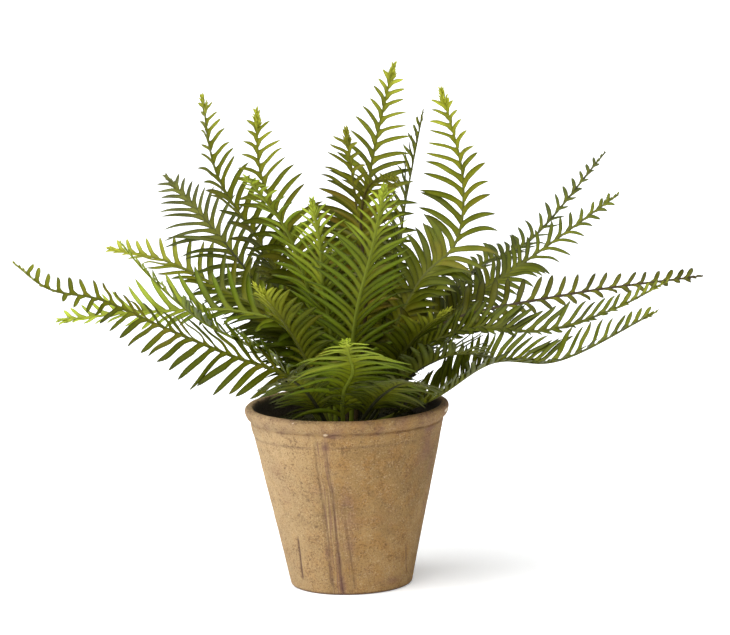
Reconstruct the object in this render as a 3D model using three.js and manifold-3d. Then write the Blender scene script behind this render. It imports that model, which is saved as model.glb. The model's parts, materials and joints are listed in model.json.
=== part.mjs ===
// A potted fern: a tapered clay pot with a rolled lip, filled with soil, and a crown of arching fronds.
// Millimetres, +Z up, origin at the centre of the pot's flat underside, the front of the plant at -Y.
// Each frond is one body: a three-sided rib from its stalk to its tip, with two rows of leaflets that
// grow out of the rib's edges.

import * as THREE from "three";
import { mergeVertices } from "three/addons/utils/BufferGeometryUtils.js";
import Module from "manifold-3d";

const wasm = await Module();
wasm.setup();

const { clamp, degToRad: degrees, lerp, seededRandom, smoothstep } = THREE.MathUtils;

// Pot
const POT_HEIGHT = 132;
const BASE_RADIUS = 44.2;
const BASE_EDGE = 2.5; // the rounded edge round the underside
const BASE_EDGE_ANGLES = [0, 30, 60, 90];
const FLOOR_THICKNESS = 9;
const FLOOR_RADIUS = 38;
const MOUTH_RADIUS = 67;
const INNER_WALL_TOP = 124;
const SIDES = 32; // round the pot and the soil

// The pot's section from the top of its wall over the lip to the mouth, as [radius, height].
const LIP_SECTION = [
  [69.4, 118.5],
  [70.3, 120.5],
  [72.5, 124],
  [73.8, 129],
  [73.1, 131.1],
  [71.4, POT_HEIGHT],
  [68.9, 131.7],
  [67.4, 129.8],
];

// Soil
const SOIL_EDGE_HEIGHT = 117;
const SOIL_RISE = 3; // how much higher the soil stands at the crown
const SOIL_RINGS = [0.55, 0]; // of the soil's top inside its edge, as shares of its radius
const FIT = 0.3; // the gap between pieces that touch
const HOLE_RADIUS = 2.6;
const HOLE_SIDES = 6;
const HOLE_DEPTH = 14;
const ROOT_DEPTH = 13; // how deep a stalk stands in its hole

// Rib and stalk
const STALK_HALF_WIDTH = 1.5;
const RIB_TIP_HALF_WIDTH = 0.75;
const RIB_EDGE_RISE = 0.45; // of the rib's edges above its centre line, as a share of its half width
const RIB_KEEL_DROP = 0.9; // of the rib's keel below its centre line, as a share of its half width
const STALK_STEPS = 4;
const BARE_STALK = 16; // from the soil to the first leaflets

// Leaflets along the rib
const SPACING = 10; // between neighbouring leaflets of one row
const TIP_SPACING = 6;
const CROWDING_START = 0.8; // share of the leafy rib beyond which the leaflets draw closer
const ROW_SHIFT = 0.5; // how far the left row stands on from the right one, as a share of the spacing
const FOOT_LEAF_SHARE = 0.8; // the first leaflets' length, as a share of the longest
const FOOT_LEAF_END = 0.15; // share of the leafy rib at which they reach their full length
const TIP_LEAF_SHARE = 0.24; // the last leaflets' length, as a share of the longest
const TIP_LEAF_START = 0; // where that share holds, counted back from the frond's tip
const TAPER = 0.5; // share of the leafy rib, back from its tip, at which the leaflets are longest

// One leaflet
const LEAF_WIDTH_SHARE = 0.11; // of the leaflet's length
const LEAF_MIN_WIDTH = 2.6;
const LEAF_MAX_WIDTH = 4.2;
const LEAF_THICKNESS = 0.85;
const LONG_LEAF = 42; // a longer leaflet has two rings between its foot and its tip, a shorter one has one
const LONG_LEAF_RINGS = [[0.16, 1.05], [0.6, 0.9]]; // place along the leaflet and width there, as shares
const SHORT_LEAF_RINGS = [[0.24, 1]];
const LEAF_ANGLE = 50; // degrees between a leaflet's foot and the rib
const TIP_LEAF_ANGLE = 36;
const LEANING_START = 0.35; // share of the leafy rib beyond which the leaflets lean towards the tip
const LEAF_CURL = 28; // degrees by which a leaflet bends away from the frond's tip
const LEAF_LIFT = 8;
const LEAF_DROOP = 0.28;
const TURN_START = 0.5; // share of the leafy rib at which tipLift and twist begin to show
const TURN_END = 0.85; // and at which they show in full
const LEAF_PITCH = 12; // degrees by which a leaflet turns about its own length
const CLEARANCE = 0.2; // between leaflets that pass each other
const TOUCH = 1e-4; // mm3 that two bodies may share where they only touch

// How far a leaflet strays from these rules: size is a share of its length, the rest are degrees.
const STRAY = { size: 0.07, turn: 4, lift: 6, pitch: 9, curl: 7 };

// The ways in which a leaflet gives way to what it would cross: turned along the rib and lifted from the
// blade's plane, in degrees, and then made shorter.
const BEND_SCALES = [1, 0.82, 0.64, 0.46];
const BEND_ANGLES = [[0, 0], [0, 12], [0, -12], [10, 0], [-10, 0], [0, 24], [0, -24], [12, 18], [-12, -18]];
const BENDS = BEND_SCALES.flatMap((scale) => BEND_ANGLES.map(([turn, lift]) => ({ scale, turn, lift })));

const POT_COLOUR = 0xb08a5b;
const POT_ROUGHNESS = 0.85;
const SOIL_COLOUR = 0x2e2318;
const SOIL_ROUGHNESS = 0.95;
const FROND_ROUGHNESS = 0.5;
const FROND_COLOURS = {
  fresh: 0x7f8a2c,
  mature: 0x636b22,
  deep: 0x4a5424,
  bronze: 0x6b6422,
};

// One row for each frond. root is where its stalk leaves the soil, path the points that its rib runs
// through from there to its tip, face the way the blade's upper side looks, and leaf the length of its
// longest leaflets. A row may set its own lift, how far the leaflets rise from the blade's plane, and
// tipLift, how far they do at the tip, twist, how far the blade turns towards its tip, angle, tipAngle
// and curl, all in degrees. It may set its own droop, how much the leaflets hang, width, a leaflet's
// width as a share of its length, spacing, taper and bare, the length of the stalk below the first
// leaflets.
const FRONDS = [
  {
    name: "frond_left_long",
    root: [-19, -13],
    path: [[-40, -32, 157], [-81, -50, 178], [-132, -80, 207], [-169, -96, 228], [-204, -110, 239], [-227, -116, 259]],
    face: [0.55, -0.73, 0.4],
    leaf: 35,
    lift: -30,
    tipLift: 45,
    twist: 15,
    taper: 1,
    bare: 44,
    angle: 52,
    tipAngle: 68,
    curl: 10,
    droop: 0.12,
    width: 0.15,
    colour: "mature",
  },
  {
    name: "frond_left_pale_tip",
    root: [-20, 3],
    path: [[-32, 2, 183], [-74, 6, 200], [-146, 12, 201], [-207, 16, 196]],
    face: [0, -0.58, 0.82],
    leaf: 36,
    lift: 28,
    droop: 0.1,
    colour: "fresh",
  },
  {
    name: "frond_left_middle",
    root: [-19, 11],
    path: [[-40, 28, 182], [-86, 52, 208], [-129, 74, 228], [-174, 92, 237]],
    face: [0, -0.55, 0.84],
    leaf: 34,
    lift: 30,
    droop: 0.1,
    colour: "mature",
  },
  {
    name: "frond_left_edge_on",
    root: [-20, -5],
    path: [[-47, -16, 164], [-103, -30, 201], [-138, -40, 236], [-157, -44, 261]],
    face: [0.4, 0.05, 1],
    leaf: 30,
    lift: 18,
    colour: "fresh",
  },
  {
    name: "frond_left_upper",
    root: [-12, 16],
    path: [[-33, 32, 170], [-60, 58, 207], [-104, 88, 260], [-130, 104, 288]],
    face: [0.3, -0.95, 0.3],
    leaf: 42,
    taper: 0.4,
    spacing: 7,
    width: 0.07,
    colour: "deep",
  },
  {
    name: "frond_left_tall",
    root: [-12, 8],
    path: [[-29, 20, 180], [-52, 40, 231], [-90, 56, 294], [-99, 56, 351]],
    face: [0.8, -0.57, 0.2],
    leaf: 43,
    lift: 22,
    colour: "mature",
  },
  {
    name: "frond_left_tall_inner",
    root: [-9, 1],
    path: [[-24, 7, 185], [-41, 12, 256], [-57, 14, 298], [-59, 10, 345]],
    face: [0.56, -0.8, 0.2],
    leaf: 42,
    lift: 18,
    colour: "mature",
  },
  {
    name: "frond_left_forward",
    root: [-12, -7],
    path: [[-19, -14, 189], [-37, -34, 260], [-54, -54, 290], [-65, -86, 310]],
    face: [0.3, 0.5, 0.8],
    leaf: 31,
    lift: 16,
    colour: "fresh",
  },
  {
    name: "frond_front_left",
    root: [-8, -14],
    path: [[-10, -30, 191], [-15, -50, 232], [-15, -60, 253], [-20, -78, 291]],
    face: [0.1, 0.6, 0.8],
    leaf: 38,
    lift: 26,
    curl: 22,
    droop: 0.2,
    spacing: 7.5,
    width: 0.1,
    colour: "fresh",
  },
  {
    name: "frond_front_right",
    root: [3, -16],
    path: [[5, -36, 177], [10, -56, 212], [21, -78, 255], [31, -98, 302]],
    face: [0, 0.6, 0.8],
    leaf: 43,
    lift: 26,
    curl: 22,
    droop: 0.2,
    spacing: 7.5,
    width: 0.1,
    colour: "fresh",
  },
  {
    name: "frond_tallest",
    root: [4, 9],
    path: [[15, 20, 204], [16, 38, 245], [22, 56, 294], [41, 70, 370]],
    face: [0.3, -0.9, 0.25],
    leaf: 40,
    lift: 14,
    colour: "mature",
  },
  {
    name: "frond_centre_back",
    root: [0, 1],
    path: [[9, 4, 207], [12, 8, 257], [9, 6, 295], [5, -2, 331]],
    face: [-0.55, -0.8, 0.2],
    leaf: 43,
    lift: 14,
    colour: "bronze",
  },
  {
    name: "frond_right_edge_on",
    root: [12, 12],
    path: [[37, 30, 202], [45, 52, 261], [52, 68, 292], [62, 86, 334]],
    face: [-1, -0.1, 0.15],
    leaf: 34,
    lift: 34,
    angle: 34,
    curl: 10,
    droop: 0.1,
    colour: "mature",
  },
  {
    name: "frond_head_on",
    root: [6, -5],
    path: [[16, -10, 209], [14, -16, 268], [20, -34, 294], [39, -76, 305]],
    face: [0.3, 0.5, 0.8],
    leaf: 31,
    colour: "bronze",
  },
  {
    name: "frond_right_tall",
    root: [13, 4],
    path: [[36, 12, 183], [58, 26, 219], [82, 36, 241], [89, 44, 284], [75, 44, 353]],
    face: [-0.6, -0.77, 0.2],
    leaf: 42,
    lift: 16,
    curl: 30,
    colour: "mature",
  },
  {
    name: "frond_right_upper_back",
    root: [16, 17],
    path: [[62, 44, 169], [93, 70, 213], [137, 100, 231], [198, 132, 293]],
    face: [-0.7, -0.5, 0.55],
    leaf: 27,
    lift: 18,
    colour: "deep",
  },
  {
    name: "frond_right_upper",
    root: [19, 9],
    path: [[40, 20, 164], [77, 28, 191], [134, 44, 226], [203, 60, 271]],
    face: [-0.55, -0.55, 0.6],
    leaf: 31,
    lift: 10,
    colour: "mature",
  },
  {
    name: "frond_right_long",
    root: [19, 0],
    path: [[36, 3, 161], [69, 4, 187], [159, 4, 206], [259, 0, 218]],
    face: [0, -0.7, 0.7],
    leaf: 30,
    lift: 26,
    angle: 60,
    curl: 14,
    droop: 0.1,
    taper: 1,
    tipAngle: 48,
    width: 0.16,
    colour: "bronze",
  },
  {
    name: "frond_right_middle",
    root: [18, -8],
    path: [[43, -14, 164], [89, -26, 188], [142, -40, 188], [190, -54, 204], [229, -64, 225]],
    face: [0, -0.5, 0.86],
    leaf: 24,
    lift: 34,
    angle: 50,
    curl: 0,
    droop: 0.1,
    width: 0.14,
    spacing: 9,
    colour: "mature",
  },
  {
    name: "frond_right_low",
    root: [17, -17],
    path: [[63, -36, 141], [105, -56, 169], [148, -76, 172], [218, -104, 210]],
    face: [0, -0.45, 0.9],
    leaf: 30,
    lift: 44,
    angle: 50,
    curl: -4,
    droop: 0.1,
    colour: "mature",
  },
  {
    name: "frond_front_fresh",
    root: [-3, -24],
    path: [[-2, -44, 147], [5, -66, 166], [3, -95, 183], [1, -120, 198]],
    face: [0, 0.4, 0.9],
    leaf: 52,
    lift: -4,
    droop: 0.5,
    spacing: 6.5,
    bare: 8,
    width: 0.09,
    colour: "fresh",
  },
  {
    name: "frond_front_low_left",
    root: [-14, -20],
    path: [[-26, -48, 147], [-38, -78, 164], [-45, -106, 168]],
    face: [-0.2, 0.3, 1],
    leaf: 30,
    lift: 4,
    droop: 0.35,
    spacing: 8,
    bare: 12,
    width: 0.11,
    colour: "deep",
  },
  {
    name: "frond_front_low_right",
    root: [8, -21],
    path: [[24, -50, 145], [42, -78, 160], [54, -102, 162]],
    face: [0.2, 0.3, 1],
    leaf: 31,
    lift: 4,
    droop: 0.35,
    spacing: 8,
    bare: 12,
    width: 0.11,
    colour: "deep",
  },
  {
    name: "frond_inner_left",
    root: [-13.5, -13],
    path: [[-27, -22, 166], [-46, -36, 204], [-62, -52, 228]],
    face: [0.3, 0.4, 0.8],
    leaf: 34,
    lift: 20,
    curl: 24,
    spacing: 9,
    colour: "mature",
  },
  {
    name: "frond_inner_right",
    root: [13, -12],
    path: [[31, -26, 158], [54, -44, 190], [74, -60, 208]],
    face: [-0.3, 0.4, 0.8],
    leaf: 34,
    lift: 20,
    curl: 24,
    spacing: 9,
    colour: "mature",
  },
  {
    name: "frond_inner_low_right",
    root: [13.5, -22],
    path: [[32, -38, 146], [56, -54, 167], [82, -68, 178], [102, -78, 176]],
    face: [0.1, 0, 1],
    leaf: 38,
    lift: 26,
    curl: 20,
    spacing: 9,
    colour: "deep",
  },
  {
    name: "frond_inner_back_right",
    root: [6.5, 15],
    path: [[21, 22, 172], [33, 32, 212], [40, 40, 250]],
    face: [-0.3, -0.95, 0.2],
    leaf: 38,
    lift: 12,
    colour: "deep",
  },
  {
    name: "frond_inner_back",
    root: [-3, 9],
    path: [[-9, 14, 170], [-13, 20, 205], [-18, 26, 240]],
    face: [0.1, -0.95, 0.2],
    leaf: 38,
    lift: 12,
    colour: "deep",
  },
  {
    name: "frond_back_left",
    root: [-8, 22],
    path: [[-34, 62, 180], [-72, 118, 206], [-104, 172, 196]],
    face: [0, -0.3, 0.95],
    leaf: 36,
    colour: "deep",
  },
  {
    name: "frond_back_middle",
    root: [2, 24],
    path: [[2, 62, 190], [-2, 124, 226], [-8, 188, 218]],
    face: [0, -0.3, 0.95],
    leaf: 36,
    colour: "mature",
  },
  {
    name: "frond_back_right",
    root: [9, 20],
    path: [[34, 68, 182], [66, 128, 208], [96, 186, 196]],
    face: [0, -0.3, 0.95],
    leaf: 36,
    colour: "deep",
  },
  {
    name: "frond_back_low_left",
    root: [-18, 19],
    path: [[-44, 58, 162], [-68, 98, 190], [-88, 138, 196]],
    face: [0, 0, 1],
    leaf: 34,
    bare: 14,
    colour: "fresh",
  },
  {
    name: "frond_back_low_right",
    root: [19, 22],
    path: [[42, 64, 160], [70, 106, 186], [92, 148, 190]],
    face: [0, 0, 1],
    leaf: 34,
    bare: 14,
    colour: "mature",
  },
];

function solidOf(geometry) {
  const bare = geometry.clone();
  bare.deleteAttribute("normal");
  bare.deleteAttribute("uv");
  const merged = mergeVertices(bare);
  return new wasm.Manifold(
    new wasm.Mesh({
      numProp: 3,
      vertProperties: merged.attributes.position.array,
      triVerts: new Uint32Array(merged.index.array),
    }),
  );
}

function geometryOf(solid) {
  const mesh = solid.getMesh();
  const geometry = new THREE.BufferGeometry();
  geometry.setAttribute("position", new THREE.BufferAttribute(mesh.vertProperties, 3));
  geometry.setIndex(new THREE.BufferAttribute(mesh.triVerts, 1));
  return geometry;
}

function geometryFrom(points, triangles) {
  const geometry = new THREE.BufferGeometry();
  geometry.setFromPoints(points);
  geometry.setIndex(triangles.flat());
  return geometry;
}

// A lathed body about +Z from a profile of [radius, height] points.
function turned(profile) {
  const points = profile.map(([radius, height]) => new THREE.Vector2(radius, height));
  return new THREE.LatheGeometry(points, SIDES).rotateX(Math.PI / 2);
}

// The pot's inner wall, from the floor to the mouth.
function innerRadius(height) {
  return lerp(FLOOR_RADIUS, MOUTH_RADIUS, (height - FLOOR_THICKNESS) / (POT_HEIGHT - FLOOR_THICKNESS));
}

function potGeometry() {
  const edge = BASE_EDGE_ANGLES.map((angle) => [
    BASE_RADIUS - BASE_EDGE + BASE_EDGE * Math.sin(degrees(angle)),
    BASE_EDGE - BASE_EDGE * Math.cos(degrees(angle)),
  ]);
  const inside = [
    [innerRadius(INNER_WALL_TOP), INNER_WALL_TOP],
    [FLOOR_RADIUS, FLOOR_THICKNESS],
    [0, FLOOR_THICKNESS],
  ];
  return turned([[0, 0], ...edge, ...LIP_SECTION, ...inside]);
}

function soilHeight(radius) {
  const rim = innerRadius(SOIL_EDGE_HEIGHT);
  return SOIL_EDGE_HEIGHT + SOIL_RISE * (1 - (radius / rim) ** 2);
}

// The soil fills the pot, with a plain hole for each stalk.
function soilGeometry() {
  const bottom = FLOOR_THICKNESS + FIT;
  const top = SOIL_RINGS.map((share) => share * innerRadius(SOIL_EDGE_HEIGHT));
  let soil = solidOf(
    turned([
      [0, bottom],
      [innerRadius(bottom) - FIT, bottom],
      [innerRadius(SOIL_EDGE_HEIGHT) - FIT, SOIL_EDGE_HEIGHT],
      ...top.map((radius) => [radius, soilHeight(radius)]),
    ]),
  );
  for (const { root } of FRONDS) {
    const hole = new THREE.CylinderGeometry(HOLE_RADIUS, HOLE_RADIUS, 2 * HOLE_DEPTH, HOLE_SIDES);
    hole.rotateX(Math.PI / 2).translate(...root, soilHeight(Math.hypot(...root)));
    soil = soil.subtract(solidOf(hole));
  }
  return geometryOf(soil);
}

// The rib's centre line, with the stations along it: the stalk's, then one for each pair of leaflets.
function ribLine(frond) {
  const root = new THREE.Vector3(...frond.root, soilHeight(Math.hypot(...frond.root)));
  const path = frond.path.map((point) => new THREE.Vector3(...point));
  const curve = new THREE.CatmullRomCurve3([root, ...path]);
  const length = curve.getLength();
  const bare = frond.bare ?? BARE_STALK;
  const stations = [];
  for (let step = 0; step < STALK_STEPS; step++) stations.push((bare * step) / STALK_STEPS);
  let place = bare;
  while (place < length - TIP_SPACING) {
    stations.push(place);
    const leafy = (place - bare) / (length - bare);
    place += lerp(frond.spacing ?? SPACING, TIP_SPACING, smoothstep(leafy, CROWDING_START, 1));
  }
  return { frond, curve, length, bare, stations };
}

// The rib's point, its direction, the blade's upper side and the direction to the right, at a place.
function frameAt(line, place) {
  const share = clamp(place / line.length, 0, 1);
  const point = line.curve.getPointAt(share);
  const along = line.curve.getTangentAt(share);
  const face = new THREE.Vector3(...line.frond.face);
  const up = face.addScaledVector(along, -face.dot(along)).normalize();
  up.applyAxisAngle(along, degrees(line.frond.twist ?? 0) * smoothstep(share, TURN_START, TURN_END));
  const right = new THREE.Vector3().crossVectors(along, up);
  return { point, along, up, right };
}

// The rib's three corners at each station: left, right and keel.
function ribCorners(line) {
  return line.stations.map((place, index) => {
    const next = line.stations[index + 1] ?? place + TIP_SPACING;
    const step = place < line.bare ? 0 : next - place;
    const half = lerp(STALK_HALF_WIDTH, RIB_TIP_HALF_WIDTH, place / line.length);
    const corner = (shift, across, rise) => {
      const { point, up, right } = frameAt(line, place + shift * step);
      return point.addScaledVector(right, across * half).addScaledVector(up, rise * half);
    };
    return {
      left: corner(ROW_SHIFT, -1, RIB_EDGE_RISE),
      right: corner(0, 1, RIB_EDGE_RISE),
      keel: corner(ROW_SHIFT / 2, 0, -RIB_KEEL_DROP),
    };
  });
}

// The length of a leaflet at a share of the leafy rib, as a share of the longest.
function leafShare(leafy, taper) {
  const foot = lerp(FOOT_LEAF_SHARE, 1, Math.min(1, leafy / FOOT_LEAF_END));
  return foot * lerp(TIP_LEAF_SHARE, 1, smoothstep(1 - leafy, TIP_LEAF_START, taper));
}

// How one leaflet strays from the rules that all of them follow.
function leafletDraws() {
  const draws = {};
  for (const [name, range] of Object.entries(STRAY)) draws[name] = lerp(-range, range, seededRandom());
  return draws;
}

// A leaflet's centre line: its foot, its first direction, and how that direction changes up to its tip.
// side is 1 on the right and -1 on the left.
function leafletLine(line, index, side, draws, bend, foot) {
  const { frond, stations, bare } = line;
  const step = stations[index + 1] - stations[index];
  const shift = side > 0 ? ROW_SHIFT : 2 * ROW_SHIFT;
  const { along, up, right } = frameAt(line, stations[index] + shift * step);
  const leafy = (stations[index] - bare) / (line.length - bare);
  const length = frond.leaf * leafShare(leafy, frond.taper ?? TAPER) * (1 + draws.size) * bend.scale;
  const leaning = smoothstep(leafy, LEANING_START, 1);
  const tipAngle = frond.tipAngle ?? TIP_LEAF_ANGLE;
  const angle = lerp(frond.angle ?? LEAF_ANGLE, tipAngle, leaning) + draws.turn + bend.turn;
  const curl = (frond.curl ?? LEAF_CURL) + draws.curl;
  const footLift = frond.lift ?? LEAF_LIFT;
  const fineLift = lerp(footLift, frond.tipLift ?? footLift, smoothstep(leafy, TURN_START, TURN_END));
  const lift = degrees(fineLift + draws.lift + bend.lift);
  const across = right.multiplyScalar(side);
  const outward = across.clone().multiplyScalar(Math.cos(lift)).addScaledVector(up, Math.sin(lift));
  const face = up.clone().multiplyScalar(Math.cos(lift)).addScaledVector(across, -Math.sin(lift));
  const towards = (turn) => {
    const direction = along.clone().multiplyScalar(Math.cos(degrees(turn)));
    return direction.addScaledVector(outward, Math.sin(degrees(turn)));
  };
  const start = towards(angle);
  const change = towards(angle + curl).sub(start);
  change.z -= frond.droop ?? LEAF_DROOP;
  face.applyAxisAngle(start, side * degrees(LEAF_PITCH + draws.pitch));
  const base = new THREE.Vector3().addVectors(foot[0], foot[1]).multiplyScalar(1 / 2);
  return { base, length, start, change, face };
}

// The middle of a leaflet and its heading at a share of its length.
function leafletPoint({ base, length, start, change }, share) {
  const heading = start.clone().addScaledVector(change, share);
  const middle = base.clone().addScaledVector(start, length * share);
  middle.addScaledVector(change, (length * share ** 2) / 2);
  return { heading, middle };
}

// The rings of a leaflet from its foot on the rib to its tip: each has the edge towards the frond's
// foot, the edge towards the frond's tip and the keel.
function leafletRings(plan, index, side, draws, bend) {
  const here = plan.corners[index];
  const next = plan.corners[index + 1];
  const foot = side > 0 ? [here.right, next.right, here.keel] : [here.left, next.left, here.keel];
  const leaf = leafletLine(plan.line, index, side, draws, bend, foot);
  const widthShare = plan.frond.width ?? LEAF_WIDTH_SHARE;
  const width = clamp(widthShare * leaf.length, LEAF_MIN_WIDTH, LEAF_MAX_WIDTH);
  const rings = (leaf.length > LONG_LEAF ? LONG_LEAF_RINGS : SHORT_LEAF_RINGS).map(([share, swell]) => {
    const { heading, middle } = leafletPoint(leaf, share);
    const across = new THREE.Vector3().crossVectors(leaf.face, heading).normalize().multiplyScalar(side);
    const below = new THREE.Vector3().crossVectors(heading, across).normalize().multiplyScalar(-side);
    return [
      middle.clone().addScaledVector(across, (-swell * width) / 2),
      middle.clone().addScaledVector(across, (swell * width) / 2),
      middle.clone().addScaledVector(below, LEAF_THICKNESS),
    ];
  });
  return { rings: [foot, ...rings], tip: leafletPoint(leaf, 1).middle };
}

// The sides of a leaflet between its rings and its tip, as triangles of numbered points. They face out
// on the right row and are turned round for the left one.
function leafletSides(rings, tip, side) {
  const pairs = [[0, 1], [1, 2], [2, 0]];
  const sides = [];
  for (let level = 0; level + 1 < rings.length; level++) {
    for (const [a, b] of pairs) {
      sides.push([rings[level][a], rings[level + 1][a], rings[level + 1][b]]);
      sides.push([rings[level][a], rings[level + 1][b], rings[level][b]]);
    }
  }
  const last = rings[rings.length - 1];
  for (const [a, b] of pairs) sides.push([last[a], tip, last[b]]);
  return side > 0 ? sides : sides.map(([a, b, c]) => [a, c, b]);
}

// A leaflet as a solid of its own, from one of its rings on, with the box round it.
function leafletSolid(leaflet, side, firstRing) {
  const rings = leaflet.rings.slice(firstRing);
  const points = [...rings.flat(), leaflet.tip];
  const numbered = rings.map((ring, level) => ring.map((_, corner) => 3 * level + corner));
  const end = side > 0 ? [0, 1, 2] : [0, 2, 1];
  const triangles = [...leafletSides(numbered, points.length - 1, side), end];
  return boxed(solidOf(geometryFrom(points, triangles)));
}

function boxed(solid) {
  const { min, max } = solid.boundingBox();
  return { solid, box: new THREE.Box3(new THREE.Vector3(...min), new THREE.Vector3(...max)) };
}

function isNear(one, other) {
  const reach = one.box.clone().expandByScalar(CLEARANCE);
  return reach.intersectsBox(other.box) && one.solid.minGap(other.solid, 2 * CLEARANCE) < CLEARANCE;
}

function crosses(one, other) {
  return one.box.intersectsBox(other.box) && one.solid.intersect(other.solid).volume() > TOUCH;
}

// The rib and stalk as triangles. A segment is open on each side that bears a leaflet.
function ribTriangles(count, hasLeaflet) {
  const [left, right, keel] = [0, 1, 2].map((corner) => (index) => 3 * index + corner);
  const triangles = [[left(0), keel(0), right(0)]];
  for (let index = 0; index + 1 < count; index++) {
    const next = index + 1;
    triangles.push([left(index), right(index), right(next)], [left(index), right(next), left(next)]);
    triangles.push([keel(index), keel(next), right(next)], [keel(index), left(next), keel(next)]);
    if (!hasLeaflet(index, 1)) triangles.push([right(index), keel(index), right(next)]);
    if (!hasLeaflet(index, -1)) triangles.push([keel(index), left(index), left(next)]);
  }
  const last = count - 1;
  const tip = 3 * count;
  for (const [a, b] of [[left, right], [right, keel], [keel, left]]) triangles.push([a(last), b(last), tip]);
  return triangles;
}

// The stalk's foot in the soil, the rib's corners above it and the rib's tip, as one list of points.
function ribPoints(line, corners) {
  const [left, right, keel] = [corners[0].left, corners[0].right, corners[0].keel].map((corner) =>
    corner.clone().setZ(line.curve.getPointAt(0).z - ROOT_DEPTH),
  );
  const rings = [{ left, right, keel }, ...corners];
  return [...rings.flatMap((ring) => [ring.left, ring.right, ring.keel]), line.curve.getPointAt(1)];
}

// Places one leaflet clear of everything placed so far, and gives nothing where no bend is clear.
function placeLeaflet(plan, index, side, draws, obstacles) {
  for (const bend of BENDS) {
    const leaflet = leafletRings(plan, index, side, draws, bend);
    const whole = leafletSolid(leaflet, side, 0);
    const free = leafletSolid(leaflet, side, 1);
    const isClear =
      !crosses(whole, plan.rib) &&
      plan.leaflets.every((other) => !crosses(whole, other.whole) && !isNear(free, other.free)) &&
      obstacles.every((other) => other.plan === plan || !isNear(whole, other));
    if (isClear) return { ...leaflet, index, side, free, whole };
  }
  return null;
}

function growLeaflets(plan, seed, obstacles) {
  seededRandom(seed);
  for (let index = STALK_STEPS; index + 1 < plan.corners.length; index++) {
    for (const side of [1, -1]) {
      const leaflet = placeLeaflet(plan, index, side, leafletDraws(), obstacles);
      if (!leaflet) continue;
      plan.leaflets.push(leaflet);
      obstacles.push({ ...leaflet.whole, plan });
    }
  }
}

// The frond's whole surface: its rib with each leaflet stitched into the rib's edge. The rib's rings
// are numbered from the buried foot, so they run one ahead of the stations.
function frondGeometry(plan) {
  const points = [...plan.points];
  const bears = (index, side) => plan.leaflets.some((one) => one.index === index && one.side === side);
  const triangles = ribTriangles(plan.corners.length + 1, (index, side) => bears(index - 1, side));
  for (const { index, side, rings, tip } of plan.leaflets) {
    const ribRow = 3 * (index + 1);
    const edge = side > 0 ? 1 : 0;
    const numbered = [[ribRow + edge, ribRow + 3 + edge, ribRow + 2]];
    for (const ring of rings.slice(1)) {
      numbered.push(ring.map((_, corner) => points.length + corner));
      points.push(...ring);
    }
    triangles.push(...leafletSides(numbered, points.length, side));
    points.push(tip);
  }
  return geometryFrom(points, triangles);
}

function planFrond(frond) {
  const line = ribLine(frond);
  const corners = ribCorners(line);
  const points = ribPoints(line, corners);
  const rib = boxed(solidOf(geometryFrom(points, ribTriangles(corners.length + 1, () => false))));
  return { frond, line, corners, points, rib, leaflets: [] };
}

function growFronds(pot, soil) {
  const plans = FRONDS.map(planFrond);
  const obstacles = [boxed(solidOf(pot)), boxed(solidOf(soil))];
  for (const plan of plans) obstacles.push({ ...plan.rib, plan });
  plans.forEach((plan, index) => growLeaflets(plan, index + 1, obstacles));
  return plans;
}

function piece(name, geometry, color, roughness) {
  const material = new THREE.MeshStandardMaterial({ color, roughness, metalness: 0, flatShading: true });
  const mesh = new THREE.Mesh(geometry, material);
  mesh.name = name;
  return mesh;
}

const fern = new THREE.Group();
const pot = potGeometry();
const soil = soilGeometry();
fern.add(piece("pot", pot, POT_COLOUR, POT_ROUGHNESS));
fern.add(piece("soil", soil, SOIL_COLOUR, SOIL_ROUGHNESS));
for (const plan of growFronds(pot, soil)) {
  fern.add(piece(plan.frond.name, frondGeometry(plan), FROND_COLOURS[plan.frond.colour], FROND_ROUGHNESS));
}

export default fern;
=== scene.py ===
"""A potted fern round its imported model: fine fronds, an aged clay pot, soil and a small studio.

Everything is in metres, +Z up, with the front of the plant at -Y. Each frond is read from its solid,
which gives the rib and the place of every leaflet, and is then built again in fine detail.
"""

import itertools
import json
import math
import random

import bmesh
import bpy
import numpy as np
from mathutils import Matrix, Vector, noise


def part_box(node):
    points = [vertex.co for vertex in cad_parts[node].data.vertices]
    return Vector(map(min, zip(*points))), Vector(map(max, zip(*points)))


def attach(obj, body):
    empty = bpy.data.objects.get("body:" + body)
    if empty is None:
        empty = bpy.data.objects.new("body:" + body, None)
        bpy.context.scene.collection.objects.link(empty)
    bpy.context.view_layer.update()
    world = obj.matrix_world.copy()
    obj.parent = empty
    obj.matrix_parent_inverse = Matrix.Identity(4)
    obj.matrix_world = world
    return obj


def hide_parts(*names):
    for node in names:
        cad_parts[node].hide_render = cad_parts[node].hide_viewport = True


bl_info = {
    "name": "Potted fern",
    "version": (1, 0, 0),
    "blender": (4, 5, 0),
    "location": "3D View > Sidebar > Fern",
    "description": "Dresses the packed potted fern: fronds, clay pot, soil and studio",
    "category": "Object",
}

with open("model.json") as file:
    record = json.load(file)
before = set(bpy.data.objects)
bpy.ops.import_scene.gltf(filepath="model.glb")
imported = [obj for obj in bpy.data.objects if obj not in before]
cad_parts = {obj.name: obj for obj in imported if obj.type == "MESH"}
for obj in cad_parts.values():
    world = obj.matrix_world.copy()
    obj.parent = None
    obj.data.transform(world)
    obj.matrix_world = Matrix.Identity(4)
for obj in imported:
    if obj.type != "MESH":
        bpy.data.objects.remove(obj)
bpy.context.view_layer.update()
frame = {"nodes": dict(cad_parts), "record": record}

MM = 0.001
POT_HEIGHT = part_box("pot")[1].z
SLOTS = {part["node"]: part["material_slot"] for part in frame["record"]["subparts"]}
FRONDS = sorted(name for name in frame["nodes"] if name.startswith("frond_"))


def length(name, description, default):
    """A size in metres, given in millimetres."""
    return bpy.props.FloatProperty(
        name=name, description=description, default=default * MM, min=0, subtype="DISTANCE", unit="LENGTH"
    )


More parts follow.
